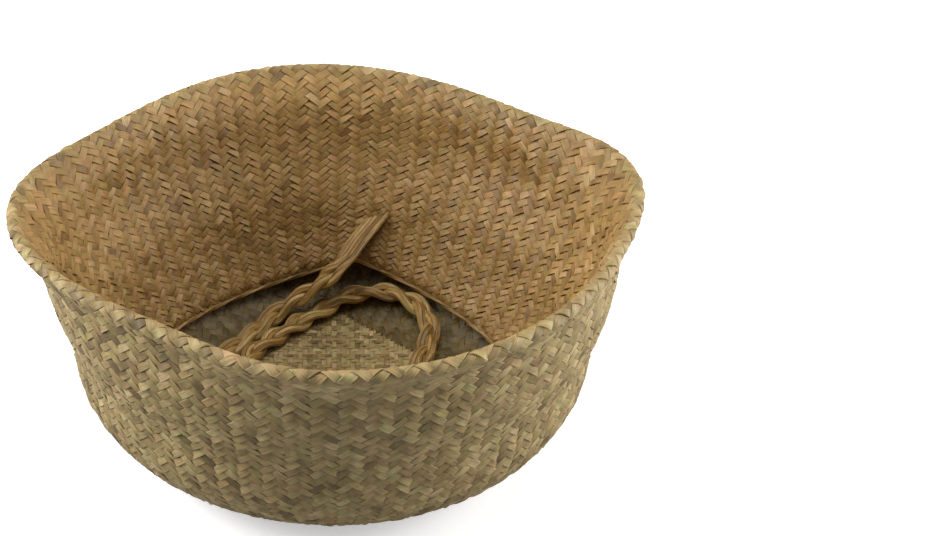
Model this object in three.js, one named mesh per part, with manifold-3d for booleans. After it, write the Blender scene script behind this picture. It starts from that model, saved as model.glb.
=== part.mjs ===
// Folded belly basket: a round-bottomed basket plaited from flat sedge strips, its upper wall turned down
// inside the lower one, with a plaited rope handle that lies across the floor inside.
// Millimetres, +Z up, origin on the resting surface under the middle of the rim.

import * as THREE from 'three';
import { LoftGeometry } from 'three/addons/geometries/LoftGeometry.js';
import { mergeVertices } from 'three/addons/utils/BufferGeometryUtils.js';
import Module from 'manifold-3d';

const wasm = await Module();
wasm.setup();

// Plaited fabric
const wallThickness = 2.4;
const seatClearance = 0.3;

// Rim: the crest where the wall folds over, a soft square with uneven corners
const rimHeight = 134;
const crestWidth = 9;
const rimStations = [
  { direction: 0, reach: 154.5 },
  { direction: 53, reach: 171.5 },
  { direction: 99, reach: 157 },
  { direction: 136, reach: 173.5 },
  { direction: 189, reach: 153 },
  { direction: 225, reach: 167 },
  { direction: 292, reach: 157 },
  { direction: 330, reach: 171 },
];

// Lower wall: round at the base, bellied, flaring into the square rim
const baseLean = new THREE.Vector2(-4, -3.5);
const baseFlatRadius = 83.5;
const baseRounding = 58;
const bellyBulge = 7.5;
const flarePower = 3.2;

// Upper wall, turned inside, and its mouth edge just above the floor, highest at the back left
const mouthReach = 108.6;
const mouthHeight = 17;
const mouthTilt = { direction: 130, rise: 1.6, spread: 1.4 };
const borderHeight = 6;
const borderThickness = 3.4;
const inwardPower = 3;

// The mouth edge is pushed up where the handle rope runs over it
const handleAngle = 37;
const liftSpan = 56;
const liftSharpness = 2;
const backLift = { rise: 18.5, spread: 4.5 };
const frontLift = { rise: 9, spread: 2 };

// Handle rope and the stopper knots behind the upper wall
const ropeDiameter = 11;
const neckDiameter = 9;
const anchorTurn = -5;
const anchorHeight = 55;
const leaveInward = 0.56;
const leaveDown = 0.8;
const leaveAcross = 0.5;
const ropeStandoff = 15;
const straightRun = 6;
const neckEmbed = 5;
const knotWidth = 22;
const knotHeight = 17;
const knotDepth = 7;
const knotGap = 0.5;
const slotClearance = 0.4;

// Mesh fineness
const ringSteps = 72;
const crestSteps = 6;
const roundingSteps = 7;
const wallSteps = 8;
const borderSides = 8;
const ropeSides = 10;
const ropeSteps = 60;

const radians = THREE.MathUtils.degToRad;
const { clamp, lerp } = THREE.MathUtils;

// Reach of the rim in a direction, eased from one station to the next
function rimReach(angle) {
  const degrees = THREE.MathUtils.euclideanModulo(THREE.MathUtils.radToDeg(angle), 360);
  let after = rimStations.findIndex((station) => station.direction > degrees);
  if (after < 0) after = rimStations.length;
  const from = rimStations[after - 1];
  const to = rimStations[after % rimStations.length];
  const span = THREE.MathUtils.euclideanModulo(to.direction - from.direction, 360);
  const ease = (1 - Math.cos((Math.PI * (degrees - from.direction)) / span)) / 2;
  return lerp(from.reach, to.reach, ease);
}

// Outer face of the lower wall above its rounded foot
function wallRadius(angle, height) {
  const climb = clamp((height - baseRounding) / (rimHeight - crestWidth / 2 - baseRounding), 0, 1);
  const footRadius = baseFlatRadius + baseRounding;
  const flare = (rimReach(angle) - footRadius) * climb ** flarePower;
  return footRadius + flare + bellyBulge * Math.sin(Math.PI * climb) ** 2;
}

// The round foot leans away from under the rim; the lean dies out towards the crest
function leanAt(height) {
  const climb = clamp((height - baseRounding) / (rimHeight - baseRounding), 0, 1);
  return baseLean.clone().multiplyScalar(1 - climb);
}

function placed(angle, radius, height) {
  const lean = leanAt(height);
  return new THREE.Vector3(radius * Math.cos(angle) + lean.x, radius * Math.sin(angle) + lean.y, height);
}

// How far the mouth edge is tented up, from 1 under the rope to 0 at both ends of the raised stretch
function nearRope(angle, direction) {
  const turned = THREE.MathUtils.euclideanModulo(THREE.MathUtils.radToDeg(angle) - direction + 180, 360) - 180;
  return clamp(1 - Math.abs(turned) / liftSpan, 0, 1) ** liftSharpness;
}

function mouthAt(angle) {
  const back = nearRope(angle, handleAngle);
  const front = nearRope(angle, handleAngle + 180);
  const tilt = Math.cos(angle - radians(mouthTilt.direction));
  return {
    reach: mouthReach + mouthTilt.spread * tilt + backLift.spread * back + frontLift.spread * front,
    height: mouthHeight + mouthTilt.rise * tilt + backLift.rise * back + frontLift.rise * front,
  };
}

// Middle of the upper wall: it starts under the crest and runs inwards, ever flatter, to the mouth edge
function upperWallMiddle(angle, share) {
  const mouth = mouthAt(angle);
  const top = rimHeight - crestWidth / 2 - seatClearance;
  const height = lerp(top, mouth.height + seatClearance, share);
  const besideWall = wallRadius(angle, height) - crestWidth + wallThickness / 2;
  const mouthGap = wallRadius(angle, mouth.height) - crestWidth + wallThickness / 2 - mouth.reach;
  return new THREE.Vector2(besideWall - mouthGap * share ** inwardPower, height);
}

function welded(geometry) {
  geometry.deleteAttribute('normal');
  geometry.deleteAttribute('uv');
  return mergeVertices(geometry);
}

// A closed ring round the basket from its cross-section, given as (radius, height) points at each angle
function ring(sectionAt) {
  const sections = [];
  for (let step = 0; step <= ringSteps; step++) {
    const angle = ((step % ringSteps) * 2 * Math.PI) / ringSteps;
    sections.push(sectionAt(angle).map((point) => placed(angle, point.x, point.y)));
  }
  return welded(new THREE.BufferGeometry().copy(new LoftGeometry(sections)));
}

function range(count, pointAt) {
  return Array.from({ length: count + 1 }, (_, step) => pointAt(step / count));
}

function arcPoint(centre, radius, angle) {
  return new THREE.Vector2(centre.x + radius * Math.cos(angle), centre.y + radius * Math.sin(angle));
}

// Lower wall: rounded foot, bellied side, and the crest rolled over to the inside
function lowerWallSection(angle) {
  const crestRadius = crestWidth / 2;
  const footCentre = new THREE.Vector2(baseFlatRadius, baseRounding);
  const crestBase = rimHeight - crestRadius;
  const crestCentre = new THREE.Vector2(rimReach(angle) - crestRadius, crestBase);
  const side = (inset) => (share) => {
    const height = lerp(baseRounding, crestBase, share);
    return new THREE.Vector2(wallRadius(angle, height) - inset, height);
  };
  const foot = (inset) => (share) => arcPoint(footCentre, baseRounding - inset, -Math.PI / 2 + (share * Math.PI) / 2);
  const crest = (inset) => (share) => arcPoint(crestCentre, crestRadius - inset, share * Math.PI);
  const face = (inset) => [
    ...range(roundingSteps, foot(inset)),
    ...range(wallSteps, side(inset)).slice(1),
    ...range(crestSteps, crest(inset)).slice(1),
  ];
  return [...face(wallThickness), ...face(0).reverse()];
}

function upperWallSection(angle) {
  const half = wallThickness / 2;
  const middle = range(wallSteps, (share) => upperWallMiddle(angle, share));
  const outward = middle.map((point, index) => {
    const before = middle[Math.max(index - 1, 0)];
    const after = middle[Math.min(index + 1, middle.length - 1)];
    const along = after.clone().sub(before).normalize();
    return new THREE.Vector2(-along.y, along.x);
  });
  outward[0].set(1, 0);
  outward[middle.length - 1].set(1, 0);
  const face = (offset) => middle.map((point, index) => point.clone().addScaledVector(outward[index], offset));
  return [...face(half), ...face(-half).reverse()];
}

function borderSection(angle) {
  const mouth = mouthAt(angle);
  const centreHeight = mouth.height - borderHeight / 2;
  return Array.from({ length: borderSides }, (_, side) => {
    const turn = (-2 * Math.PI * (side + 0.5)) / borderSides;
    const squared = 1 / Math.max(Math.abs(Math.cos(turn)), Math.abs(Math.sin(turn)));
    const bluntness = lerp(1, squared, 0.6);
    return new THREE.Vector2(
      mouth.reach + (borderThickness / 2) * clamp(bluntness * Math.cos(turn), -1, 1),
      centreHeight + (borderHeight / 2) * clamp(bluntness * Math.sin(turn), -1, 1),
    );
  });
}

// The rope passes through the upper wall slantwise, a little beside the place where the mouth edge is highest.
// An anchor holds its place on the wall, the wall's outward normal there, and the way the rope leaves.
function anchorAt(degrees) {
  const angle = radians(degrees);
  let share = 0.5;
  for (let pass = 0; pass < 20; pass++) {
    share += (upperWallMiddle(angle, share).y - anchorHeight) / rimHeight;
  }
  const middle = (offset) => {
    const wall = upperWallMiddle(angle, share + offset);
    return placed(angle, wall.x, wall.y);
  };
  const point = middle(0);
  const down = middle(0.02).sub(middle(-0.02)).normalize();
  const across = new THREE.Vector3(-Math.sin(angle), Math.cos(angle), 0);
  const outward = new THREE.Vector3().crossVectors(down, across).normalize();
  const slope = Math.atan2(-outward.z, Math.hypot(outward.x, outward.y));
  const leaving = outward.clone().multiplyScalar(-leaveInward);
  leaving.addScaledVector(down, leaveDown).addScaledVector(across, leaveAcross).normalize();
  return { angle, slope, point, outward, leaving };
}

const backAnchor = anchorAt(handleAngle + anchorTurn);
const frontAnchor = anchorAt(handleAngle + 180 + anchorTurn);

function tube(curve, steps, diameter, sides) {
  const section = new THREE.Shape();
  for (let side = 0; side < sides; side++) {
    const turn = (2 * Math.PI * side) / sides;
    const x = (diameter / 2) * Math.cos(turn);
    const y = (diameter / 2) * Math.sin(turn);
    if (side === 0) section.moveTo(x, y);
    else section.lineTo(x, y);
  }
  section.closePath();
  return new THREE.ExtrudeGeometry(section, { steps, extrudePath: curve });
}

function solid(geometry) {
  const clean = welded(geometry);
  return new wasm.Manifold(new wasm.Mesh({
    numProp: 3,
    vertProperties: clean.attributes.position.array,
    triVerts: Uint32Array.from(clean.index.array),
  }));
}

function geometryOf(manifold) {
  const cut = manifold.getMesh();
  const geometry = new THREE.BufferGeometry();
  geometry.setAttribute('position', new THREE.BufferAttribute(cut.vertProperties, 3));
  geometry.setIndex(new THREE.BufferAttribute(cut.triVerts, 1));
  return geometry;
}

// A place on the straight run of strands through the wall, measured from the middle of the wall
function onNeck(anchor, distance) {
  return anchor.point.clone().addScaledVector(anchor.leaving, distance);
}

// Stopper knot between the walls, with the neck of strands that goes through the slot to the rope
function knotSolid(anchor) {
  const knot = new THREE.SphereGeometry(0.5, 14, 8);
  knot.scale(knotDepth, knotWidth, knotHeight);
  knot.rotateY(anchor.slope);
  knot.rotateZ(anchor.angle);
  const centre = anchor.point.clone().addScaledVector(anchor.outward, (wallThickness + knotDepth) / 2 + knotGap);
  knot.translate(centre.x, centre.y, centre.z);
  const run = new THREE.LineCurve3(onNeck(anchor, -neckEmbed), onNeck(anchor, ropeStandoff - seatClearance));
  return geometryOf(solid(knot).add(solid(tube(run, 1, neckDiameter, ropeSides))));
}

function slotCutter(anchor) {
  const run = new THREE.LineCurve3(onNeck(anchor, -ropeStandoff), onNeck(anchor, ropeStandoff));
  return solid(tube(run, 1, neckDiameter + 2 * slotClearance, ropeSides));
}

// Free stretch of the handle on the basket's floor: over the mouth edge, down to the left, round a hidden
// turn, back beside itself, an arch to the right, and hidden again to the front of the upper wall
const floorLine = wallThickness + seatClearance + ropeDiameter / 2;
const ropeRoute = [
  onNeck(backAnchor, ropeStandoff),
  onNeck(backAnchor, ropeStandoff + straightRun),
  new THREE.Vector3(75.5, 62, 38.5),
  new THREE.Vector3(66.5, 63, 32),
  new THREE.Vector3(58.5, 66.5, 25.5),
  new THREE.Vector3(51.5, 71, 19.8),
  new THREE.Vector3(45, 75.2, 15.3),
  new THREE.Vector3(37, 78.2, 11.8),
  new THREE.Vector3(28, 79, 9.5),
  new THREE.Vector3(18, 77.8, 8.4),
  new THREE.Vector3(6, 75, floorLine),
  new THREE.Vector3(-14, 72, floorLine),
  new THREE.Vector3(-36, 69, floorLine),
  new THREE.Vector3(-57, 62, floorLine),
  new THREE.Vector3(-72, 49, floorLine),
  new THREE.Vector3(-79, 32, floorLine),
  new THREE.Vector3(-77, 17, floorLine),
  new THREE.Vector3(-67.5, 5.5, floorLine),
  new THREE.Vector3(-53, 1.5, floorLine),
  new THREE.Vector3(-39, 6, floorLine),
  new THREE.Vector3(-30, 18, floorLine),
  new THREE.Vector3(-27.5, 33, floorLine),
  new THREE.Vector3(-24, 47, floorLine),
  new THREE.Vector3(-15.5, 57, floorLine),
  new THREE.Vector3(-2, 62, floorLine),
  new THREE.Vector3(17, 64, floorLine),
  new THREE.Vector3(38, 65, floorLine),
  new THREE.Vector3(57, 63.8, 9.6),
  new THREE.Vector3(74, 59.5, 11.9),
  new THREE.Vector3(87, 48.5, 14.2),
  new THREE.Vector3(93.5, 36.5, 14.6),
  new THREE.Vector3(95, 23.5, 13),
  new THREE.Vector3(91.5, 11, 11),
  new THREE.Vector3(81.5, -1, 9.3),
  new THREE.Vector3(59, -14.5, floorLine),
  new THREE.Vector3(35, -26.5, floorLine),
  new THREE.Vector3(9, -38, floorLine),
  new THREE.Vector3(-18, -46.5, floorLine),
  new THREE.Vector3(-42, -54.5, 10.5),
  new THREE.Vector3(-57, -59.5, 16.5),
  new THREE.Vector3(-70, -64.5, 25.5),
  new THREE.Vector3(-81.5, -68.5, 34.5),
  onNeck(frontAnchor, ropeStandoff + straightRun),
  onNeck(frontAnchor, ropeStandoff),
];
const ropeCurve = new THREE.CatmullRomCurve3(ropeRoute, false, 'centripetal');

const sedgeStraw = new THREE.MeshStandardMaterial({ color: 0xb79a68, roughness: 0.72, metalness: 0 });
const sedgeWarm = new THREE.MeshStandardMaterial({ color: 0xa4824f, roughness: 0.75, metalness: 0 });
const sedgeFloor = new THREE.MeshStandardMaterial({ color: 0x7b6b3e, roughness: 0.8, metalness: 0 });
const ropeTan = new THREE.MeshStandardMaterial({ color: 0xa5803f, roughness: 0.7, metalness: 0 });

const basket = new THREE.Group();

function addPiece(name, geometry, material) {
  const mesh = new THREE.Mesh(geometry, material);
  mesh.name = name;
  basket.add(mesh);
}

function baseMat() {
  const outline = new THREE.Shape();
  outline.absarc(baseLean.x, baseLean.y, baseFlatRadius - seatClearance, 0, 2 * Math.PI);
  return new THREE.ExtrudeGeometry(outline, {
    depth: wallThickness,
    bevelEnabled: false,
    curveSegments: ringSteps / 2,
  });
}

const upperWall = solid(ring(upperWallSection))
  .subtract(slotCutter(backAnchor))
  .subtract(slotCutter(frontAnchor));

addPiece('base_mat', baseMat(), sedgeFloor);
addPiece('outer_wall', ring(lowerWallSection), sedgeStraw);
addPiece('inner_wall', geometryOf(upperWall), sedgeWarm);
addPiece('mouth_border', ring(borderSection), sedgeWarm);
addPiece('handle_knot_back', knotSolid(backAnchor), ropeTan);
addPiece('handle_knot_front', knotSolid(frontAnchor), ropeTan);
addPiece('handle_rope', tube(ropeCurve, ropeSteps, ropeDiameter, ropeSides), ropeTan);

export default basket;
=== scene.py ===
"""A folded belly basket plaited from flat sedge strips, with a plaited rope handle lying inside it."""

import math
import random

import bmesh
import bpy
import numpy as np
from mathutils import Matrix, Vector


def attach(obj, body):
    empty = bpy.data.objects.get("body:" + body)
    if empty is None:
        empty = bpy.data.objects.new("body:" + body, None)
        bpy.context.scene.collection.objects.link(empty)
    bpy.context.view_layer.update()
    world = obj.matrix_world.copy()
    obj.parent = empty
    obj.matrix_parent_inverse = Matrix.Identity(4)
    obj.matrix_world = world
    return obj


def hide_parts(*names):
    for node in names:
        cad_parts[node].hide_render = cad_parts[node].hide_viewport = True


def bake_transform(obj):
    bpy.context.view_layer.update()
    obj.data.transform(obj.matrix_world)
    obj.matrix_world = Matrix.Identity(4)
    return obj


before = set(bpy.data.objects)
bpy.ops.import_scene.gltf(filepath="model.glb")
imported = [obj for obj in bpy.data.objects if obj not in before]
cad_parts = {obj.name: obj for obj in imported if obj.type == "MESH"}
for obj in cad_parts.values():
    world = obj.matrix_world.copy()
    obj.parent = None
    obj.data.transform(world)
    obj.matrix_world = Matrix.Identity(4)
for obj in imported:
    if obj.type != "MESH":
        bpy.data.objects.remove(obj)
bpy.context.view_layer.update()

# Camera: a short telephoto lens on the front corner's side, looking down into the bowl.
# The shift keeps the basket left of the picture's middle, as the photograph has it.
picture_width_px = 940
focal_px = 1786.5
basket_middle_px = 321
aim_drop = math.radians(2.39)
look_down = math.radians(29)
camera_distance = 0.95
rim_middle = Vector((-0.0027, 0.0065, 0.134))


def looking(elevation):
    """The way along the diagonal of X and Y that falls by this elevation."""
    level = math.cos(elevation) / math.sqrt(2)
    return Vector((level, level, -math.sin(elevation)))


camera = bpy.data.objects.new("camera", bpy.data.cameras.new("camera"))
bpy.context.scene.collection.objects.link(camera)
bpy.context.scene.camera = camera
camera.data.sensor_width = 36
camera.data.lens = focal_px / picture_width_px * camera.data.sensor_width
camera.data.shift_x = 0.5 - basket_middle_px / picture_width_px
camera.location = rim_middle - looking(look_down) * camera_distance
camera.rotation_mode = "QUATERNION"
camera.rotation_quaternion = looking(look_down + aim_drop).to_track_quat("-Z", "Y")
bpy.context.scene.view_settings.view_transform = "Standard"


# Studio: a dim white world, a large soft lamp overhead and one on either side, which leave the basket's
# near side the darkest, and a white floor that fades into the world and keeps the basket's shadow.
def node(tree, kind, sockets=None, **settings):
    """Adds one shader node with its settings, and fills or links its sockets."""
    made = tree.nodes.new(kind)
    for key, value in settings.items():
        setattr(made, key, value)
    for socket, value in (sockets or {}).items():
        if isinstance(value, bpy.types.NodeSocket):
            tree.links.new(value, made.inputs[socket])
        else:
            made.inputs[socket].default_value = value
    return made


def linear(hex_colour):
    """An sRGB colour such as 0xb79a68 as the linear colour that a shader takes."""
    parts = [(hex_colour >> shift & 255) / 255 for shift in (16, 8, 0)]
    return [p / 12.92 if p <= 0.04045 else ((p + 0.055) / 1.055) ** 2.4 for p in parts] + [1]


world = bpy.data.worlds.new("studio")
bpy.context.scene.world = world
world.use_nodes = True
world.node_tree.nodes.clear()
world_light = 0.1
light_path = node(world.node_tree, "ShaderNodeLightPath")
seen = node(
    world.node_tree,
    "ShaderNodeMath",
    {0: light_path.outputs["Is Camera Ray"], 1: light_path.outputs["Is Glossy Ray"]},
    operation="MAXIMUM",
)
strength = node(
    world.node_tree,
    "ShaderNodeMapRange",
    {"Value": seen.outputs[0], "To Min": world_light, "To Max": 1.0},
)
sky = node(
    world.node_tree,
    "ShaderNodeBackground",
    {"Color": linear(0xFFFFFF), "Strength": strength.outputs[0]},
)
node(world.node_tree, "ShaderNodeOutputWorld", {"Surface": sky.outputs[0]})


def soft_lamp(name, place, size, watts):
    """A square lamp that faces the middle of the basket."""
    lamp = bpy.data.objects.new(name, bpy.data.lights.new(name, "AREA"))
    bpy.context.scene.collection.objects.link(lamp)
    lamp.data.size = size
    lamp.data.energy = watts
    lamp.location = place
    lamp.rotation_mode = "QUATERNION"
    lamp.rotation_quaternion = (rim_middle - lamp.location).to_track_quat("-Z", "Y")


soft_lamp("left_lamp", Vector((-0.9, 0.95, 0.75)), 0.9, 33)
soft_lamp("right_lamp", Vector((0.95, -0.9, 0.52)), 0.9, 28)
soft_lamp("top_lamp", Vector((0.0, 0.0, 1.7)), 1.2, 20)

floor_reach = 4
floor_mesh = bmesh.new()
bmesh.ops.create_grid(floor_mesh, x_segments=1, y_segments=1, size=floor_reach)
floor = bpy.data.objects.new("studio_floor", bpy.data.meshes.new("studio_floor"))
floor_mesh.to_mesh(floor.data)
floor_mesh.free()
bpy.context.scene.collection.objects.link(floor)
paper = bpy.data.materials.new("white paper sweep")
paper.use_nodes = True
paper.node_tree.nodes.clear()
matte = node(paper.node_tree, "ShaderNodeBsdfDiffuse", {"Color": linear(0xF2F2F2)})
bounce = node(paper.node_tree, "ShaderNodeBsdfDiffuse", {"Color": linear(0xC4C4C4)})
glow = node(paper.node_tree, "ShaderNodeEmission", {"Color": linear(0xFFFFFF), "Strength": 0.45})
both = node(paper.node_tree, "ShaderNodeAddShader", {0: matte.outputs[0], 1: glow.outputs[0]})
for_camera = node(paper.node_tree, "ShaderNodeLightPath")
paper_face = node(
    paper.node_tree,
    "ShaderNodeMixShader",
    {0: for_camera.outputs["Is Camera Ray"], 1: bounce.outputs[0], 2: both.outputs[0]},
)
node(paper.node_tree, "ShaderNodeOutputMaterial", {"Surface": paper_face.outputs[0]})
floor.data.materials.append(paper)

# Floor of the basket: flat sedge strips plaited square, two over two under, its bands set in squares
# one round the other. Its strips run towards the rim's corners and go on slantwise up the wall.
MM = 0.001
strips_each_way = 144
strip_samples = 3
most_segments = 112
lay_spacing = 10.0
strip_flat = 0.84
crisp_angle = math.radians(32)
floor_pitch = 2.83
wall_thickness = 2.4
base_lean = np.array([-4.0, -3.5])
base_flat_radius = 83.5
base_rounding = 58.0
half_floor = strips_each_way // 4
strip_thickness = 0.8
strip_rise = 0.46
float_arch = 0.1
shingle_tilt = 0.4
width_spread = 0.12
strip_lap = 0.07


def eased(share):
    """A share that starts and ends softly, held between 0 and 1."""
    share = np.clip(share, 0, 1)
    return share * share * (3 - 2 * share)


def flat_strips(name, count, segments):
    """Straight strips laid side by side along X, each flat with bevelled edges and 1 long along Z."""
    strip = bmesh.new()
    bmesh.ops.create_cone(strip, cap_ends=True, segments=6, radius1=1, radius2=1, depth=1)
    lengthwise = [e for e in strip.edges if abs(e.verts[0].co.z - e.verts[1].co.z) > 0.5]
    bmesh.ops.subdivide_edges(strip, edges=lengthwise, cuts=segments - 1)
    for vertex in strip.verts:
        face_x, edge_y = round(vertex.co.x, 3), round(vertex.co.y, 3)
        vertex.co.x = math.copysign(1, face_x) if face_x else 0
        vertex.co.y = math.copysign(1 if abs(edge_y) == 1 else strip_flat, edge_y)
    mesh = bpy.data.meshes.new(name)
    strip.to_mesh(mesh)
    strip.free()
    first = bpy.data.objects.new(name, mesh)
    bpy.context.scene.collection.objects.link(first)
    repeat = first.modifiers.new("repeat", "ARRAY")
    repeat.count = count
    repeat.use_relative_offset = False
    repeat.use_constant_offset = True
    repeat.constant_offset_displace = (lay_spacing, 0, 0)
    made = first.evaluated_get(bpy.context.evaluated_depsgraph_get())
    strips = bpy.data.meshes.new_from_object(made)
    bpy.data.objects.remove(first)
    return strips


def plaited(name, mesh, lay, material):
    """Bends flat strips into place. lay takes each point's strip, its place along it from 0 to 1, and its
    place across and through it from -1 to 1. It gives points in mm, the tint, how far the colour is turned
    to another side of the basket, the length along the strip and half its width in mm."""
    count = len(mesh.vertices)
    points = np.empty(count * 3, np.float32)
    mesh.vertices.foreach_get("co", points)
    points = points.reshape(-1, 3).astype(float)
    strip = np.rint(points[:, 0] / lay_spacing).astype(int)
    through = points[:, 0] - strip * lay_spacing
    across = points[:, 1]
    places, tint, side, length, width = lay(strip, points[:, 2] + 0.5, across, through)
    mesh.vertices.foreach_set("co", (places * MM).astype(np.float32).ravel())
    for key, values in (("tint", tint), ("edge", np.abs(across)), ("side", side)):
        layer = mesh.attributes.new(key, "FLOAT", "POINT")
        layer.data.foreach_set("value", np.broadcast_to(values, count).astype(np.float32))
    corner = np.empty(len(mesh.loops), np.int32)
    mesh.loops.foreach_get("vertex_index", corner)
    apart = np.stack([strip * 0.37, strip * 0.11], axis=1)
    uv = np.stack([length * MM, across * width * MM], axis=1) + apart
    mesh.uv_layers.new(name="strip").data.foreach_set("uv", uv[corner].astype(np.float32).ravel())
    turned = bmesh.new()
    turned.from_mesh(mesh)
    bmesh.ops.recalc_face_normals(turned, faces=turned.faces[:])
    turned.to_mesh(mesh)
    turned.free()
    mesh.shade_smooth()
    mesh.set_sharp_from_angle(angle=crisp_angle)
    mesh.materials.append(material)
    piece = bpy.data.objects.new(name, mesh)
    bpy.context.scene.collection.objects.link(piece)
    return piece


def sedge(name, side_tones, roughness, painted_edge_shade=0.4):
    """Split sedge, dried and flattened: strips of many shades and hues, with lengthwise fibres, a dull waxy
    skin and painted shade that darkens each strip towards its edges, where it meets its neighbours. Each
    side of the basket has its own tones, from the darkest strip to the palest.
    The fibres are drawn twice as coarse as they are, so that they show in a picture."""
    shade_run = 17 * MM
    hue_run = 11 * MM
    hue_spread = 0.36
    fibre_run = 22 * MM
    fibre_width = 0.7 * MM
    blotch_run = 5 * MM
    material = bpy.data.materials.new(name)
    material.use_nodes = True
    tree = material.node_tree
    tree.nodes.clear()
    uv = node(tree, "ShaderNodeUVMap", uv_map="strip")

    def streaks(along, over, detail, output=0):
        """Noise drawn out along the strip, as one value or, from output 1, as three in a colour."""
        scaled = node(
            tree,
            "ShaderNodeMapping",
            {"Vector": uv.outputs[0], "Scale": (1 / along, 1 / over, 1)},
        )
        return node(
            tree,
            "ShaderNodeTexNoise",
            {"Vector": scaled.outputs[0], "Scale": 1.0, "Detail": detail},
        ).outputs[output]

    shade = streaks(shade_run, shade_run, 2)
    fibre = streaks(fibre_run, fibre_width, 3)
    blotch = streaks(blotch_run, blotch_run / 2, 2)
    hue = streaks(hue_run, hue_run, 1, 1)
    tint = node(tree, "ShaderNodeAttribute", attribute_name="tint").outputs["Fac"]
    edge = node(tree, "ShaderNodeAttribute", attribute_name="edge").outputs["Fac"]
    spread = node(
        tree,
        "ShaderNodeMapRange",
        {"Value": shade, "From Min": 0.3, "From Max": 0.7, "To Min": -0.35, "To Max": 0.35},
    )
    tone = node(
        tree,
        "ShaderNodeMath",
        {0: tint, 1: spread.outputs[0]},
        operation="ADD",
        use_clamp=True,
    )
    side = node(tree, "ShaderNodeAttribute", attribute_name="side").outputs["Fac"]
    turned = None
    for number, tones in enumerate(side_tones):
        ramp = node(tree, "ShaderNodeValToRGB", {"Fac": tone.outputs[0]})
        stops = ramp.color_ramp.elements
        for index, colour in enumerate(tones):
            place = index / (len(tones) - 1)
            stop = stops[0] if index == 0 else stops[1] if index == 1 else stops.new(place)
            stop.position = place
            stop.color = linear(colour)
        if turned is None:
            turned = ramp.outputs[0]
            continue
        past = node(
            tree,
            "ShaderNodeMapRange",
            {"Value": side, "From Min": number - 1, "From Max": number},
        )
        turned = node(
            tree,
            "ShaderNodeMix",
            {"Factor": past.outputs[0], "A": turned, "B": ramp.outputs[0]},
            data_type="RGBA",
        ).outputs[2]
    fine = node(
        tree,
        "ShaderNodeMapRange",
        {"Value": fibre, "From Min": 0.32, "From Max": 0.68, "To Min": 0.72, "To Max": 1.16},
    )
    spots = node(
        tree,
        "ShaderNodeMapRange",
        {"Value": blotch, "From Min": 0.3, "From Max": 0.6, "To Min": 0.82, "To Max": 1.05},
    )
    # Painted shade: the colour darkens towards each strip's edges, standing in for the shade in the slits
    # between strips.
    rim = node(
        tree,
        "ShaderNodeMapRange",
        {"Value": edge, "From Min": 0.45, "From Max": 1.0, "To Min": 1.0, "To Max": painted_edge_shade},
    )
    marks = node(
        tree, "ShaderNodeMath", {0: fine.outputs[0], 1: spots.outputs[0]}, operation="MULTIPLY"
    )
    marks = node(
        tree, "ShaderNodeMath", {0: marks.outputs[0], 1: rim.outputs[0]}, operation="MULTIPLY"
    )
    shift = node(
        tree,
        "ShaderNodeVectorMath",
        {0: hue, 1: (hue_spread,) * 3, 2: (1 - hue_spread / 2,) * 3},
        operation="MULTIPLY_ADD",
    )
    hued = node(
        tree,
        "ShaderNodeVectorMath",
        {0: turned, 1: shift.outputs[0]},
        operation="MULTIPLY",
    )
    colour = node(
        tree,
        "ShaderNodeVectorMath",
        {0: hued.outputs[0], "Scale": marks.outputs[0]},
        operation="SCALE",
    )
    gloss = node(
        tree,
        "ShaderNodeMapRange",
        {"Value": fibre, "To Min": roughness - 0.12, "To Max": roughness + 0.12},
    )
    grooves = node(
        tree, "ShaderNodeBump", {"Height": fibre, "Strength": 0.7, "Distance": 0.25 * MM}
    )
    skin = node(
        tree,
        "ShaderNodeBsdfPrincipled",
        {
            "Base Color": colour.outputs[0],
            "Roughness": gloss.outputs[0],
            "Specular IOR Level": 0.35,
            "Normal": grooves.outputs[0],
        },
    )
    node(tree, "ShaderNodeOutputMaterial", {"Surface": skin.outputs[0]})
    return material


def crossing_wave(crossing, over):
    """Height of a strip along its length, from -1 to 1: over gives 1 or -1 at each whole crossing."""
    before = np.floor(crossing)
    share = crossing - before
    low, high = over(before), over(before + 1)
    arch = np.where(low == high, low * float_arch * 4 * share * (1 - share), 0)
    return low + (high - low) * eased(share) + arch


def strip_habits(seed, count):
    """How each natural strip differs from its neighbours: its shade, rise and tilt, and where its edges
    lie, counted in strips from its own middle, so that neighbours of unlike width still lap a little."""
    draw = random.Random(seed)
    edge = np.array([draw.uniform(-width_spread, width_spread) for _ in range(count)])
    next_edge = np.roll(edge, -1)
    return {
        "tint": np.array([draw.gauss(0.5, 0.2) for _ in range(count)]),
        "middle": (edge + next_edge) / 2,
        "half": (1 + strip_lap + next_edge - edge) / 2,
        "rise": np.array([draw.uniform(0.85, 1.15) for _ in range(count)]),
        "tilt": np.array([draw.uniform(-0.4, 1.4) for _ in range(count)]),
        "phase": np.array([draw.uniform(0, 2 * math.pi) for _ in range(count)]),
    }


def foot_point(reach, inset):
    """Radius, height and tilt of the bottom and its rounded foot, at this reach from the middle."""
    bend = np.arcsin(np.clip((reach - base_flat_radius) / base_rounding, 0, 1))
    radius = np.where(bend > 0, base_flat_radius + (base_rounding - inset) * np.sin(bend), reach)
    return radius, base_rounding - (base_rounding - inset) * np.cos(bend), bend


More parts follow.
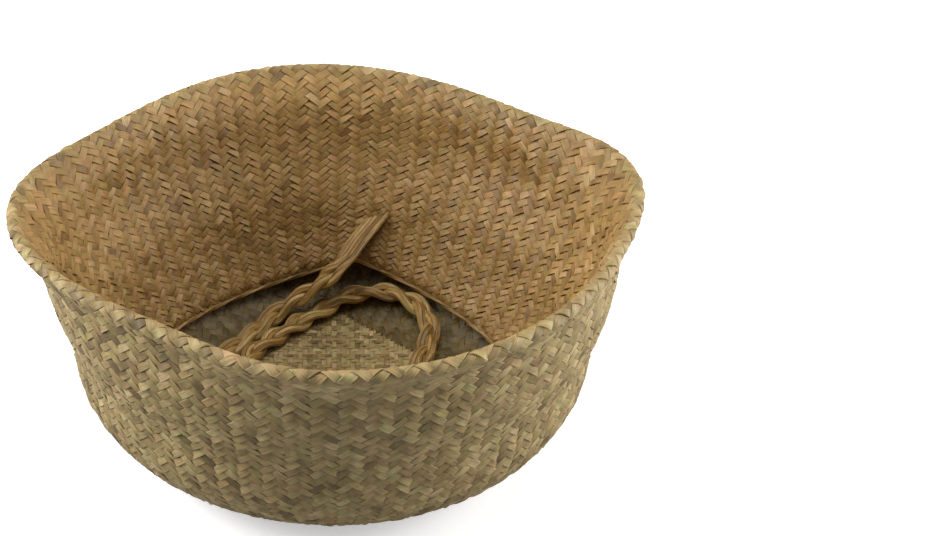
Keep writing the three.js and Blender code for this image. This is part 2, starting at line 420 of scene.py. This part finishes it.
def floor_lay(lengthwise, rows):
    """Lays the floor's strips. Lengthwise strips run along the diagonal of X and Y, the others across."""
    habits = strip_habits(11 if lengthwise else 12, rows)

    def lay(strip, along, across, through):
        place = strip - rows / 2 + 0.5
        reach = rows / 2 - np.abs(place)
        run = (2 * along - 1) * reach
        offset = habits["middle"][strip] + across * habits["half"][strip]
        over_mid, over_side = (place, run) if lengthwise else (run, place)

        def over(crossing):
            """1 where the strip passes below the other on the outside of the floor, and -1 on the inside."""
            other = crossing + 0.5
            first, second = (place, other) if lengthwise else (other, place)
            toward_x, toward_y = np.abs(first + second), np.abs(second - first)
            ring = np.maximum(toward_x, toward_y) - rows / 2
            outside = np.mod(np.rint(ring), 4) < 2
            lengthwise_over = outside == (toward_x >= toward_y)
            return np.where(lengthwise_over == lengthwise, 1.0, -1.0)

        height = crossing_wave(run - 0.5, over) * strip_rise * habits["rise"][strip]
        height = height + across * shingle_tilt * habits["tilt"][strip] * 0.6
        height = height + through * strip_thickness / 2 * 0.9
        first, second = (over_mid + offset, over_side) if lengthwise else (over_mid, over_side + offset)
        x = (first + second) * floor_pitch / math.sqrt(2)
        y = (second - first) * floor_pitch / math.sqrt(2)
        reach_mm = np.hypot(x, y)
        radius, level, bend = foot_point(reach_mm, wall_thickness / 2)
        share = np.where(reach_mm > 0, (radius + height * np.sin(bend)) / np.maximum(reach_mm, 1e-6), 1)
        places = np.stack(
            [x * share + base_lean[0], y * share + base_lean[1], level - height * np.cos(bend)], axis=1
        )
        side = (height > 0).astype(float)
        return places, habits["tint"][strip], side, run * floor_pitch, floor_pitch / 2

    return lay


floor_rows = 2 * half_floor
weathered_tones = (0x7C663A, 0xA08753, 0xB39A62, 0xC1A870, 0xD6BD86)
# Olive tones: the floor's own olive hue, made darker than the sedge is as painted shade for the floor deep
# in the bowl under the wall.
olive_painted_shade_tones = (0x52401A, 0x604D22, 0x6B5829, 0x76612F, 0x806B37)
floor_sedge = sedge("split sedge, olive with painted shade on the floor's inside", (weathered_tones, olive_painted_shade_tones), 0.62)
for side, lengthwise in (("lengthwise", True), ("crosswise", False)):
    piece = plaited(
        f"floor_strips_{side}",
        flat_strips(f"floor_strips_{side}", floor_rows, floor_rows * strip_samples),
        floor_lay(lengthwise, floor_rows),
        floor_sedge,
    )
    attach(piece, "basket")
    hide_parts("base_mat")

# Lower wall: the same strips turned up on the bias, round at the foot, bellied, and flaring into the
# soft square of the rim, where they roll over the fold. Weathered straw with a green cast.
rim_height = 134.0
crest_width = 9.0
rim_directions = np.array([0, 53, 99, 136, 189, 225, 292, 330, 360])
rim_reaches = np.array([154.5, 171.5, 157, 173.5, 153, 167, 157, 171, 154.5])
belly_bulge = 7.5
flare_power = 3.2
mouth_reach = 108.6
mouth_height = 17.0
mouth_tilt_way = math.radians(130)
tilt_rise, tilt_spread = 1.6, 1.4
border_height = 6.0
inward_power = 3.0
handle_angle = 37.0
lift_span = 56.0
lift_sharpness = 2.0
back_rise, back_spread = 18.5, 4.5
front_rise, front_spread = 9.0, 2.0
seat_clearance = 0.3
side_points = 90
crest_points = 24
hem_points = 8
grid_fine = 4
spare_rows = 2


def rim_reach(angle):
    """How far the rim reaches from the middle in a direction, in mm."""
    degrees = np.degrees(angle) % 360
    after = np.clip(np.searchsorted(rim_directions, degrees, side="right"), 1, 8)
    start, end = rim_directions[after - 1], rim_directions[after]
    ease = (1 - np.cos(np.pi * (degrees - start) / (end - start))) / 2
    return rim_reaches[after - 1] + (rim_reaches[after] - rim_reaches[after - 1]) * ease


def wall_radius(angle, height):
    """How far the outside of the lower wall reaches from the middle at a height above the foot."""
    climb = np.clip((height - base_rounding) / (rim_height - crest_width / 2 - base_rounding), 0, 1)
    foot = base_flat_radius + base_rounding
    flare = (rim_reach(angle) - foot) * climb**flare_power
    return foot + flare + belly_bulge * np.sin(np.pi * climb) ** 2


def mouth_edge(angle):
    """Reach and height of the mouth edge, tented up where the handle's strands cross it."""

    def near(direction):
        turned = (np.degrees(angle) - direction + 180) % 360 - 180
        return np.clip(1 - np.abs(turned) / lift_span, 0, 1) ** lift_sharpness

    back, front = near(handle_angle), near(handle_angle + 180)
    tilt = np.cos(angle - mouth_tilt_way)
    return (
        mouth_reach + tilt_spread * tilt + back_spread * back + front_spread * front,
        mouth_height + tilt_rise * tilt + back_rise * back + front_rise * front,
    )


def wall_profile(angle):
    """Middle of the wall's thickness above the foot, as radius and height from the foot over the belly and
    the fold down to the mouth edge, one row of each for every angle."""
    middle = wall_thickness / 2
    crest_radius = crest_width / 2
    crest_base = rim_height - crest_radius
    angle = angle[:, None]
    side_height = base_rounding + (crest_base - base_rounding) * np.linspace(0, 1, side_points)[None, :]
    side_radius = wall_radius(angle, side_height) - middle
    turn = np.linspace(0, np.pi, crest_points)[None, 1:]
    crest_reach = rim_reach(angle) - crest_radius + (crest_radius - middle) * np.cos(turn)
    crest_height = crest_base + (crest_radius - middle) * np.sin(turn) + 0 * angle
    share = np.linspace(0, 1, side_points)[None, 1:]
    edge_reach, edge_height = mouth_edge(angle)
    top = crest_base - seat_clearance
    inner_height = top + (edge_height + seat_clearance - top) * share
    beside = wall_radius(angle, inner_height) - crest_width + middle
    mouth_gap = wall_radius(angle, edge_height) - crest_width + middle - edge_reach
    inner_radius = beside - mouth_gap * share**inward_power
    drop = np.linspace(0, 1, hem_points)[None, 1:]
    hem_radius = edge_reach + 0 * drop
    hem_height = edge_height - (border_height + 2) * drop
    parts = ((side_radius, side_height + 0 * angle), (crest_reach, crest_height))
    parts += ((inner_radius, inner_height), (hem_radius, hem_height))
    return np.concatenate([p[0] for p in parts], 1), np.concatenate([p[1] for p in parts], 1)


# Rows are counted in crossings from the floor's edge up the foot, over the fold and down to the mouth.
# The strips leave the floor at 45 degrees and lie a little flatter on the wall.
strip_slope = 1.25
row_scale = strips_each_way / math.pi
foot_start = base_rounding * math.asin(
    (strips_each_way * floor_pitch / math.sqrt(2) / math.pi - base_flat_radius) / base_rounding
)
foot_end = base_rounding * math.pi / 2
foot_lengths = np.linspace(foot_start - 20, foot_end, 400)
foot_radii = base_flat_radius + base_rounding * np.sin(np.maximum(foot_lengths, 0) / base_rounding)
foot_radii = np.where(foot_lengths < 0, base_flat_radius + foot_lengths, foot_radii)
up_the_foot = np.clip((foot_lengths - foot_start) / (foot_end - foot_start), 0, 1)
foot_slopes = 1 - (1 - strip_slope) * up_the_foot
foot_steps = np.diff(foot_lengths) * row_scale / ((foot_radii[1:] + foot_radii[:-1]) / 2) * foot_slopes[1:]
foot_rows = np.concatenate([[0], np.cumsum(foot_steps)])
foot_rows -= np.interp(foot_start, foot_lengths, foot_rows)
rows_to_wall = foot_rows[-1]

round_angles = np.linspace(0, 2 * np.pi, 145)[:-1]
radii, heights = wall_profile(round_angles)
mean_radius = radii.mean(0)
steps = np.hypot(np.diff(radii, axis=1), np.diff(heights, axis=1)).mean(0)
wall_rows = rows_to_wall + np.concatenate(
    [[0], np.cumsum(steps * row_scale * strip_slope / ((mean_radius[1:] + mean_radius[:-1]) / 2))]
)
fold_point = side_points - 1 + crest_points - 1
mouth_point = fold_point + side_points - 1
fold_row = wall_rows[fold_point]
mouth_row = round(wall_rows[mouth_point])
to_whole_row = (mouth_row - fold_row) / (wall_rows[mouth_point] - fold_row)
wall_rows[fold_point:] = fold_row + (wall_rows[fold_point:] - fold_row) * to_whole_row
hem_row = mouth_row + round(border_height * strip_slope / (math.pi * mouth_reach / strips_each_way))


def smoothed(grid, axis, passes):
    """The grid with its bumps evened out along one axis. It runs round without an end along axis 0."""
    for _ in range(passes):
        before, after = np.roll(grid, 1, axis), np.roll(grid, -1, axis)
        if axis == 1:
            before[:, 0], after[:, -1] = grid[:, 0], grid[:, -1]
        grid = grid / 2 + (before + after) / 4
    return grid


def wall_surface():
    """Points and outward directions of the wall's middle on a grid of strip places and rows."""
    columns = np.arange(strips_each_way * grid_fine) / grid_fine
    rows = np.arange(-spare_rows * grid_fine, (hem_row + spare_rows) * grid_fine + 1) / grid_fine
    even = columns * 2 * np.pi / strips_each_way - np.pi / 4
    corner = (columns % half_floor) / (half_floor / 2) - 1
    square = np.floor(columns / half_floor) * np.pi / 2 + np.arctan(corner)
    square_reach = half_floor * floor_pitch / math.sqrt(2) * np.hypot(1, corner)
    bend = np.arcsin(np.clip((square_reach - base_flat_radius) / base_rounding, 0, 1))
    square_start = np.where(bend > 0, bend * base_rounding, square_reach - base_flat_radius)
    grid = np.empty((len(columns), len(rows), 3))
    wall_radii, wall_heights = wall_profile(even)
    for index, row in enumerate(rows):
        if row < rows_to_wall:
            ease = eased(row / rows_to_wall)
            angle = square + (even - square) * ease
            length = np.interp(row, foot_rows, foot_lengths) + (square_start - foot_start) * (1 - ease)
            turn = np.maximum(length, 0) / base_rounding
            inset = base_rounding - wall_thickness / 2
            radius = base_flat_radius + np.where(length > 0, inset * np.sin(turn), length)
            height = base_rounding - inset * np.cos(turn)
        else:
            angle = even
            place = np.interp(row, wall_rows, np.arange(len(wall_rows)))
            low = min(int(place), wall_radii.shape[1] - 2)
            share = place - low
            radius = wall_radii[:, low] * (1 - share) + wall_radii[:, low + 1] * share
            height = wall_heights[:, low] * (1 - share) + wall_heights[:, low + 1] * share
        climb = np.clip((height - base_rounding) / (rim_height - base_rounding), 0, 1)
        lean = base_lean[None, :] * (1 - climb[:, None])
        grid[:, index, 0] = radius * np.cos(angle) + lean[:, 0]
        grid[:, index, 1] = radius * np.sin(angle) + lean[:, 1]
        grid[:, index, 2] = height
    grid = smoothed(smoothed(grid, 1, 6), 0, 3)
    around = np.roll(grid, -1, 0) - np.roll(grid, 1, 0)
    upward = np.gradient(grid, axis=1)
    outward = np.cross(around, upward)
    outward /= np.linalg.norm(outward, axis=2, keepdims=True)
    return grid, outward


surface_points, surface_outward = wall_surface()


def on_wall(place, row, height):
    """Points at a height over the wall's middle, at places round the wall counted in strips."""
    column = (place * grid_fine) % (strips_each_way * grid_fine)
    line = np.clip((row + spare_rows) * grid_fine, 0, surface_points.shape[1] - 1.001)
    left, low = np.floor(column).astype(int), np.floor(line).astype(int)
    u, v = (column - left)[:, None], (line - low)[:, None]
    right = (left + 1) % surface_points.shape[0]

    def between(grid):
        lower = grid[left, low] * (1 - u) + grid[right, low] * u
        upper = grid[left, low + 1] * (1 - u) + grid[right, low + 1] * u
        return lower * (1 - v) + upper * v

    return between(surface_points) + between(surface_outward) * height[:, None]


turn_rows = 4
wall_seed = 21
crossing_length = 5.3
strip_half_width = 2.6
golden_tones = (0x866129, 0x9E783A, 0xAE8746, 0xBA9050, 0xCAA36A)
wall_sedge = sedge(
    "split sedge, weathered straw outside, golden brown inside and olive at the foot",
    (weathered_tones, golden_tones, olive_painted_shade_tones),
    0.58,
)


def wall_lay(lean, first_row, last_row):
    """Lays the wall's strips that lean one way, between two rows. lean is 1 or -1. Each strip goes over two
    and under two, set so that the strips of one lean show in upright columns, side by side with the other's.
    The lower edge of every strip stands a little proud."""
    habits = strip_habits(wall_seed + lean, strips_each_way)

    def lay(strip, along, across, through):
        def over(crossing):
            return np.where(np.mod(2 * strip + lean * crossing, 4) < 2, 1.0, -1.0) * lean

        run = first_row + (last_row - first_row) * along
        phase = habits["phase"][strip]
        offset = habits["middle"][strip] + across * habits["half"][strip]
        height = crossing_wave(run, over) * strip_rise * habits["rise"][strip]
        tilt = habits["tilt"][strip] * (1 + 0.6 * np.sin(run / 1.9 + phase))
        past_fold = eased((run - fold_row + turn_rows) / (1.6 * turn_rows))
        height = height - across * shingle_tilt * tilt * (1 - 2 * past_fold)
        height = height + through * strip_thickness / 2
        place = strip + 0.5 + lean * (run - offset) / 2
        # Faces turned inward before the fold take the olive tones with their painted shade. At the foot
        # these faces are seen from the bowl.
        side = np.where(through < 0, 2 - past_fold, past_fold)
        points = on_wall(place, run + offset, height)
        return points, habits["tint"][strip], side, run * crossing_length, strip_half_width

    return lay


def wall_strips(name, lean, first_row, last_row):
    """One set of the wall's strips, between two rows."""
    segments = min(most_segments, round((last_row - first_row) * strip_samples))
    strips = flat_strips(name, strips_each_way, segments)
    return plaited(name, strips, wall_lay(lean, first_row, last_row), wall_sedge)


middle_row = round(fold_row / 2)
for side, lean in (("right", 1), ("left", -1)):
    for band, first, last in (("foot", 0, middle_row), ("belly", middle_row, fold_row)):
        piece = wall_strips(f"outer_wall_{band}_{side}", lean, first, last)
        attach(piece, "basket")
        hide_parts("outer_wall")

# Upper wall: the same strips past the fold, turned down inside the bowl with their warm unbleached side
# to the eye. It turns right side out when the mouth is pulled up.
middle_row = round((fold_row + mouth_row) / 2)
for side, lean in (("right", 1), ("left", -1)):
    for band, first, last in (("high", fold_row, middle_row), ("low", middle_row, mouth_row)):
        piece = wall_strips(f"inner_wall_{band}_{side}", lean, first, last)
        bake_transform(piece)
        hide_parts("inner_wall")

# Mouth border: the last rows of the plait, where the strips' ends are turned to run on along the edge,
# twisted round each other, which makes a thin firm hem.
for side, lean in (("right", 1), ("left", -1)):
    piece = wall_strips(f"mouth_border_strips_{side}", lean, mouth_row, hem_row)
    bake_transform(piece)
    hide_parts("mouth_border")

hem_ends = 36
hem_lap = 4
hem_half_width = 1.25
hem_half_depth = 0.3
hem_core = 1.05
hem_sink = 0.3
hem_length = 75
hem_line = (hem_row + spare_rows) * grid_fine
last_row_steps = surface_points[:, hem_line] - surface_points[:, hem_line - grid_fine]
row_step = np.linalg.norm(last_row_steps, axis=1).mean()


def hem_lay(strip, along, across, through):
    """Strip ends that run on along the edge, each twisted once round the ends before and after it."""
    roll = 2 * np.pi * along
    reach = hem_core + through * hem_half_depth
    flat_x = np.cos(roll) * reach - np.sin(roll) * across * hem_half_width
    flat_y = np.sin(roll) * reach + np.cos(roll) * across * hem_half_width
    place = (strip + hem_lap * along) * strips_each_way / hem_ends
    row = hem_row - hem_sink + flat_y / row_step
    tint = strip_habits(31, hem_ends)["tint"][strip] + 0.25
    return on_wall(place, row, flat_x), tint, 1, along * hem_length, hem_half_width


hem = plaited("mouth_border_hem", flat_strips("mouth_border_hem", hem_ends, 60), hem_lay, wall_sedge)
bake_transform(hem)

# Handle: one length of rope plaited from three strands, each a bundle of split sedge. Its ends stay
# unplaited where they run flat along the wall to the slots. It lies loose on the basket's floor.
rope_diameter = 11.0
floor_line = wall_thickness + seat_clearance + rope_diameter / 2
rope_route = [
    (88.1, 62.1, 47.6),
    (82.9, 62.1, 44.7),
    (75.5, 62, 38.5),
    (66.5, 63, 32),
    (58.5, 66.5, 25.5),
    (51.5, 71, 19.8),
    (45, 75.2, 15.3),
    (37, 78.2, 11.8),
    (28, 79, 9.5),
    (18, 77.8, 8.4),
    (6, 75, floor_line),
    (-14, 72, floor_line),
    (-36, 69, floor_line),
    (-57, 62, floor_line),
    (-72, 49, floor_line),
    (-79, 32, floor_line),
    (-77, 17, floor_line),
    (-67.5, 5.5, floor_line),
    (-53, 1.5, floor_line),
    (-39, 6, floor_line),
    (-30, 18, floor_line),
    (-27.5, 33, floor_line),
    (-24, 47, floor_line),
    (-15.5, 57, floor_line),
    (-2, 62, floor_line),
    (17, 64, floor_line),
    (38, 65, floor_line),
    (57, 63.8, 9.6),
    (74, 59.5, 11.9),
    (87, 48.5, 14.2),
    (93.5, 36.5, 14.6),
    (95, 23.5, 13),
    (91.5, 11, 11),
    (81.5, -1, 9.3),
    (59, -14.5, floor_line),
    (35, -26.5, floor_line),
    (9, -38, floor_line),
    (-18, -46.5, floor_line),
    (-42, -54.5, 10.5),
    (-57, -59.5, 16.5),
    (-70, -64.5, 25.5),
    (-81.5, -68.5, 34.5),
    (-92.4, -70.0, 43.9),
    (-97.5, -70.0, 47.1),
]
plait_length = 62.0
plait_swing = 3.2
plait_depth = 2.1
loose_run = 32.0
loosening = 18.0
strands = 3
lanes = np.array([0.0, 3.3, -3.3])
fibres = 8
fibre_ring = (2.5, 1.75)
fibre_half_width = 1.05
fibre_half_depth = 0.65
fibre_turn = 40.0
settle = 1.4
settle_top, settle_ease = 12.0, 3.5


def rope_line(route):
    """A smooth line through the route, one point a millimetre."""
    knots = np.array(route, float)
    ends = [2 * knots[0] - knots[1], *knots, 2 * knots[-1] - knots[-2]]
    line = []
    for a, b, c, d in zip(ends, ends[1:], ends[2:], ends[3:]):
        for share in np.linspace(0, 1, 12, endpoint=False):
            line.append(
                b
                + (c - a) * share / 2
                + (a - 2.5 * b + 2 * c - d / 2) * share**2
                + (1.5 * (b - c) + (d - a) / 2) * share**3
            )
    line = np.array([*line, knots[-1]])
    for _ in range(2):
        lengths = np.concatenate([[0], np.cumsum(np.linalg.norm(np.diff(line, axis=0), axis=1))])
        even = np.linspace(0, lengths[-1], round(lengths[-1]) + 1)
        line = np.stack([np.interp(even, lengths, line[:, axis]) for axis in range(3)], axis=1)
        for _ in range(12):
            line[1:-1] = line[1:-1] / 2 + (line[:-2] + line[2:]) / 4
    return line


rope_path = rope_line(rope_route)
rope_path[:, 2] -= settle * eased((settle_top - rope_path[:, 2]) / settle_ease)
rope_length = float(np.linalg.norm(np.diff(rope_path, axis=0), axis=1).sum())
rope_tangent = np.gradient(rope_path, axis=0)
rope_tangent /= np.linalg.norm(rope_tangent, axis=1, keepdims=True)
rope_side = np.cross([0, 0, 1], rope_tangent)
rope_side /= np.linalg.norm(rope_side, axis=1, keepdims=True)
rope_up = np.cross(rope_tangent, rope_side)


def at_length(values, length):
    """A row of the rope's values at each length along it, in mm."""
    steps_along = np.arange(len(values)) * rope_length / (len(values) - 1)
    return np.stack([np.interp(length, steps_along, values[:, axis]) for axis in range(3)], axis=1)


def rope_lay(start, end):
    """Lays the strands' fibres between two lengths along the rope. Past its ends they run straight on."""
    habits = strip_habits(41, strands * fibres)

    def lay(strip, along, across, through):
        length = start + (end - start) * along
        past = length - np.clip(length, 0, rope_length)
        strand, fibre = strip // fibres, strip % fibres
        loose = eased((loose_run - length) / loosening)
        loose += eased((length - rope_length + loose_run) / loosening)
        phase = 2 * np.pi * ((length - loose_run) / plait_length + strand / strands)
        swing = plait_swing * np.sin(phase) * (1 - loose) + lanes[strand] * loose
        depth = plait_depth * np.sin(2 * phase) * (1 - loose)
        roll = 2 * np.pi * fibre / fibres + length / fibre_turn * (1 - loose) + strand
        ring_x, ring_y = fibre_ring[0] * np.cos(roll), fibre_ring[1] * np.sin(roll)
        facing = np.arctan2(ring_y * 1.4, ring_x)
        flat_x = -np.sin(facing) * across * fibre_half_width + np.cos(facing) * through * fibre_half_depth
        flat_y = np.cos(facing) * across * fibre_half_width + np.sin(facing) * through * fibre_half_depth
        sideways = swing + ring_x + flat_x
        upward = depth + (ring_y + flat_y) * (1 - 0.3 * loose)
        places = (
            at_length(rope_path, length)
            + at_length(rope_tangent, length) * past[:, None]
            + at_length(rope_side, length) * sideways[:, None]
            + at_length(rope_up, length) * upward[:, None]
        )
        return places, habits["tint"][strip], 1, length, fibre_half_width

    return lay


rope_tones = (0x86642F, 0xA27C3C, 0xB88F4A, 0xCBA45C, 0xDAB873)
# The last number sets how dark the painted shade at each fibre's edges is.
rope_sedge = sedge("sedge strands of the rope, brown tan", (rope_tones,), 0.5, 0.42)
handle = plaited(
    "handle_rope_plait",
    flat_strips("handle_rope_plait", strands * fibres, round(rope_length / 1.6)),
    rope_lay(0, rope_length),
    rope_sedge,
)
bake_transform(handle)
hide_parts("handle_rope")

# Stopper knots: the flat bundle of strands goes on through the upper wall, and behind it the strands are
# tied in an overhand knot. A few broken ends stand out round the place where the bundle goes in.
rope_standoff = 15.0
strands_through = 20.0
knot_width, knot_height, knot_depth = 22.0, 17.0, 7.0
knot_gap = 0.5
knot_fibres = 9
knot_ring = (2.6, 1.5)
knot_waves = 1.6
broken_ends = 7


def anchor_at(end):
    """The middle of the place where the strands pass the upper wall, and the wall's outward, level and
    upward directions there. end is 0 for the back anchor and -1 for the front one."""
    leaving = rope_tangent[end] * (1 if end == 0 else -1)
    place = rope_path[end] - leaving * rope_standoff
    nearest = np.argmin(np.linalg.norm(surface_points - place, axis=2))
    outward = surface_outward.reshape(-1, 3)[nearest] * -1
    level = np.cross([0, 0, 1], outward)
    level /= np.linalg.norm(level)
    return place, outward, level, np.cross(outward, level)


def knot_lay(end):
    """Fibres side by side round the closed line of an overhand knot, flat behind the wall."""
    place, outward, level, upward = anchor_at(end)
    centre = place + outward * ((wall_thickness + knot_depth) / 2 + knot_gap)
    reach_x = (knot_width / 2 - knot_ring[0]) / 3
    reach_y = (knot_height / 2 - knot_ring[0]) / 3
    reach_z = knot_depth / 2 - knot_ring[1] - fibre_half_depth

    def knot_line(turn):
        x = (np.sin(turn) + 2 * np.sin(2 * turn)) * reach_x
        y = (np.cos(turn) - 2 * np.cos(2 * turn)) * reach_y
        z = -np.sin(3 * turn) * reach_z
        return centre + np.outer(x, level) + np.outer(y, upward) + np.outer(z, outward)

    def lay(strip, along, across, through):
        turn = 2 * np.pi * along
        line = knot_line(turn)
        tangent = knot_line(turn + 0.01) - knot_line(turn - 0.01)
        tangent /= np.linalg.norm(tangent, axis=1, keepdims=True)
        side = np.cross(outward, tangent)
        side /= np.linalg.norm(side, axis=1, keepdims=True)
        proud = np.cross(tangent, side)
        roll = 2 * np.pi * strip / knot_fibres + knot_waves * np.sin(turn)
        ring_x, ring_y = knot_ring[0] * np.cos(roll), knot_ring[1] * np.sin(roll)
        facing = np.arctan2(ring_y * 1.7, ring_x)
        over = ring_x - np.sin(facing) * across * fibre_half_width
        over = over + np.cos(facing) * through * fibre_half_depth
        up = ring_y + np.cos(facing) * across * fibre_half_width
        up = up + np.sin(facing) * through * fibre_half_depth
        tint = strip_habits(43, knot_fibres)["tint"][strip]
        return line + side * over[:, None] + proud * up[:, None], tint, 1, turn * 12, fibre_half_width

    return lay


def broken_lay(end):
    """Short thin ends that stand out of the wall beside the bundle of strands."""
    place, outward, level, upward = anchor_at(end)
    draw = random.Random(51 + end)
    ways = np.array([draw.uniform(-0.9, 1.6) for _ in range(broken_ends)])
    reaches = np.array([draw.uniform(4, 9) for _ in range(broken_ends)])
    starts = np.array([draw.uniform(-4, 4) for _ in range(broken_ends)])

    def lay(strip, along, across, through):
        way = ways[strip]
        run = along * reaches[strip]
        lift = 0.8 + run * 0.25 * (1 - 0.5 * along)
        thin = 1 - 0.7 * along
        over = np.cos(way) * run + starts[strip] - np.sin(way) * across * 0.5 * thin
        up = np.sin(way) * run + np.cos(way) * across * 0.5 * thin
        places = place + np.outer(over, -level) + np.outer(up, upward)
        places = places - np.outer(lift + through * 0.15, outward)
        tint = strip_habits(44, broken_ends)["tint"][strip] + 0.2
        return places, tint, 1, run, 0.5

    return lay


for side, end, start, finish in (
    ("back", 0, -strands_through, 0.5),
    ("front", -1, rope_length - 0.5, rope_length + strands_through),
):
    name = f"handle_strands_{side}"
    strips = flat_strips(name, strands * fibres, 14)
    through_wall = plaited(name, strips, rope_lay(start, finish), rope_sedge)
    name = f"handle_stopper_{side}"
    knot = plaited(name, flat_strips(name, knot_fibres, 96), knot_lay(end), rope_sedge)
    name = f"handle_broken_ends_{side}"
    ends = plaited(name, flat_strips(name, broken_ends, 8), broken_lay(end), rope_sedge)
    for piece in (through_wall, knot, ends):
        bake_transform(piece)
    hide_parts(f"handle_knot_{side}")
    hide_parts(f"handle_knot_{side}")
